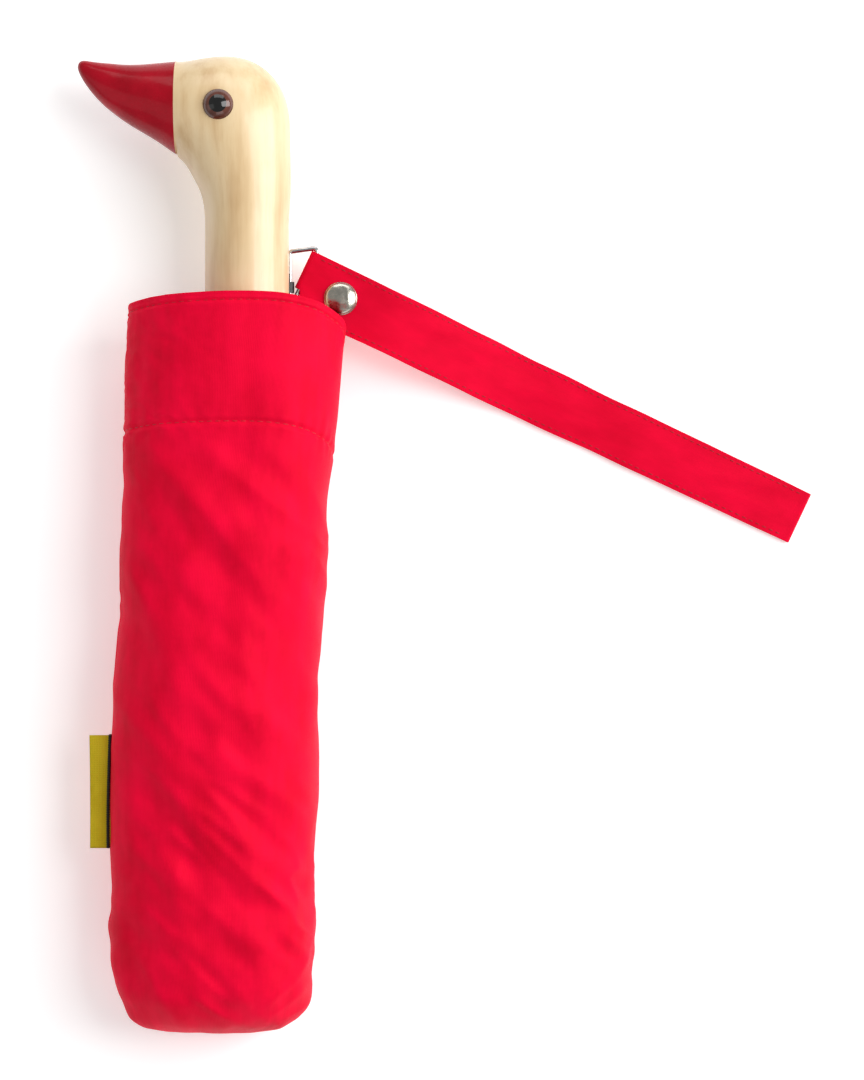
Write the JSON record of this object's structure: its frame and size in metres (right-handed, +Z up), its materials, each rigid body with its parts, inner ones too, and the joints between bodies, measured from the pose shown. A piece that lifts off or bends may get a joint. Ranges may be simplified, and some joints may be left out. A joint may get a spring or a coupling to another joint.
{
  "type": "folding umbrella in a sleeve",
  "caption": "Compact telescopic umbrella, rolled and packed in a red fabric sleeve, with a carved wooden bird-head handle and a wrist strap on a wire ring.",
  "frame": {"origin": "on the resting plane, at the underside of the sleeve, below the shaft axis", "axes": "+Y along the shaft towards the head, +Z up from the surface it lies on, the beak points to -X"},
  "size_m": [0.2554, 0.3393, 0.0477],
  "materials": {
    "shaft_chrome": "drawn and plated",
    "black_moulding": "fine moulded texture",
    "spring_steel": "bright spring wire",
    "rib_steel": "black enamelled strip",
    "rib_rod": "black enamelled rod",
    "canopy_fabric": "rolled woven polyester",
    "pale_wood": "pale close-grained hardwood, satin varnish",
    "red_lacquer": "dark red gloss paint",
    "eye_amber": "dark brown glass",
    "eye_black": "polished black",
    "black_screw": "blackened",
    "bright_wire": "polished plated wire",
    "strap_fabric": "plain woven polyester, edge stitched",
    "snap_nickel": "worn nickel plate",
    "sleeve_fabric": "plain woven polyester",
    "tag_weave": "woven ribbon"
  },
  "bodies": {
    "umbrella": {"upper_tube": "shaft_chrome", "crown": "black_moulding", "crown_wire": "spring_steel", "runner": "black_moulding", "runner_wire": "spring_steel", "top_rib_1": "rib_steel", "top_rib_2": "rib_steel", "top_rib_3": "rib_steel", "top_rib_4": "rib_steel", "top_rib_5": "rib_steel", "top_rib_6": "rib_steel", "top_rib_7": "rib_steel", "top_rib_8": "rib_steel", "stretcher_1": "rib_steel", "stretcher_2": "rib_steel", "stretcher_3": "rib_steel", "stretcher_4": "rib_steel", "stretcher_5": "rib_steel", "stretcher_6": "rib_steel", "stretcher_7": "rib_steel", "stretcher_8": "rib_steel", "middle_ribs": "rib_steel", "outer_ribs": "rib_rod", "rib_rivets": "spring_steel", "canopy": "canopy_fabric", "canopy_tie": "canopy_fabric", "tip_cap": "black_moulding"},
    "runner_catch": {"runner_catch": "spring_steel"},
    "middle_shaft": {"middle_tube": "shaft_chrome", "middle_catch": "spring_steel"},
    "handle": {"lower_tube": "shaft_chrome", "lower_catch": "spring_steel", "handle_head": "pale_wood", "beak": "red_lacquer", "beak_dowel": "pale_wood", "eye_near": "eye_amber", "eye_far": "eye_amber", "pupil_near": "eye_black", "pupil_far": "eye_black", "handle_collar": "black_moulding", "tube_pin": "spring_steel", "ring_keeper": "black_moulding", "keeper_screw": "black_screw"},
    "strap_ring": {"strap_ring": "bright_wire"},
    "strap": {"wrist_strap": "strap_fabric", "snap_cap": "snap_nickel", "snap_socket": "snap_nickel"},
    "strap_tab": {"strap_tab": "strap_fabric", "snap_stud": "snap_nickel", "snap_post": "snap_nickel"},
    "sleeve": {"sleeve": "sleeve_fabric", "sleeve_tag": "tag_weave"}
  },
  "joints": [
    {"name": "middle_slide", "type": "slide", "parent": "umbrella", "child": "middle_shaft", "axis": [0, 1, 0], "range_m": [0, 0.14]},
    {"name": "lower_slide", "type": "slide", "parent": "middle_shaft", "child": "handle", "axis": [0, 1, 0], "range_m": [0, 0.115]},
    {"name": "sleeve_slide", "type": "slide", "parent": "umbrella", "child": "sleeve", "axis": [0, -1, 0], "range_m": [0, 0.25]},
    {"name": "ring_swing", "type": "hinge", "parent": "handle", "child": "strap_ring", "pos_m": [0.01438, 0.1254, 0.0147], "axis": [0, -1, 0], "range_deg": [0, 10]},
    {"name": "strap_swing", "type": "hinge", "parent": "strap_ring", "child": "strap", "pos_m": [0.01912, 0.13543, 0.0147], "axis": [-0.4274, -0.9041, 0], "range_deg": [0, 60]},
    {"name": "tab_open", "type": "hinge", "parent": "strap", "child": "strap_tab", "pos_m": [0.01912, 0.13543, 0.01285], "axis": [0.4274, 0.9041, 0], "range_deg": [0, 30]},
    {"name": "catch_press", "type": "hinge", "parent": "umbrella", "child": "runner_catch", "pos_m": [0, -0.093, 0.0276], "axis": [-1, 0, 0], "range_deg": [0, 8], "stiffness_Nm_per_rad": 0.02}
  ]
}
